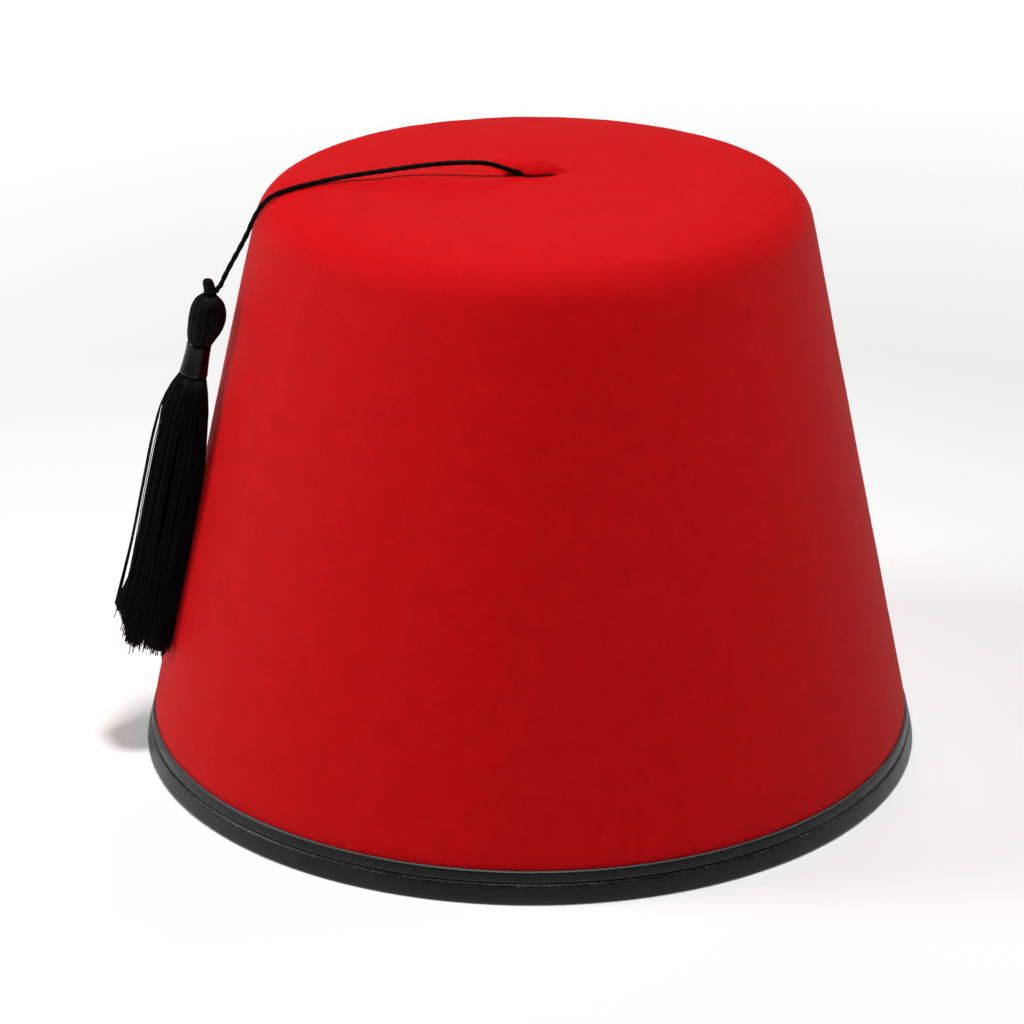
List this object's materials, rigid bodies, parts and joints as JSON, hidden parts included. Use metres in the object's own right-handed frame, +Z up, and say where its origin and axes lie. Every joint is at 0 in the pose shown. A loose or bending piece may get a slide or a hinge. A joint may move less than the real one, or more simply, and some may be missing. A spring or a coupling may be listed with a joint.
{
  "type": "fez hat",
  "caption": "Stiff felt fez, a truncated cone with a low domed top and a bound rim, with a tassel hanging over one side on a thin cord.",
  "frame": {"origin": "middle of the rim, on the surface that the hat rests on", "axes": "+Z up along the hat's axis; the tassel hangs on the -X side, turned 8 degrees towards -Y; the picture is seen from -Y"},
  "size_m": [0.2026, 0.1962, 0.1515],
  "materials": {
    "felt": "pressed wool felt, matt with a short nap",
    "leather": "black grained leather, satin",
    "yarn": "black twisted silky yarn",
    "satin": "black satin thread, wound"
  },
  "bodies": {
    "root": {"crown": "felt", "rim_binding": "leather", "upper_band": "leather", "inner_knot": "yarn", "cord": "yarn", "tassel_loop": "yarn", "tassel_tie": "yarn", "tassel": "yarn", "tassel_wrap": "satin"}
  },
  "joints": []
}
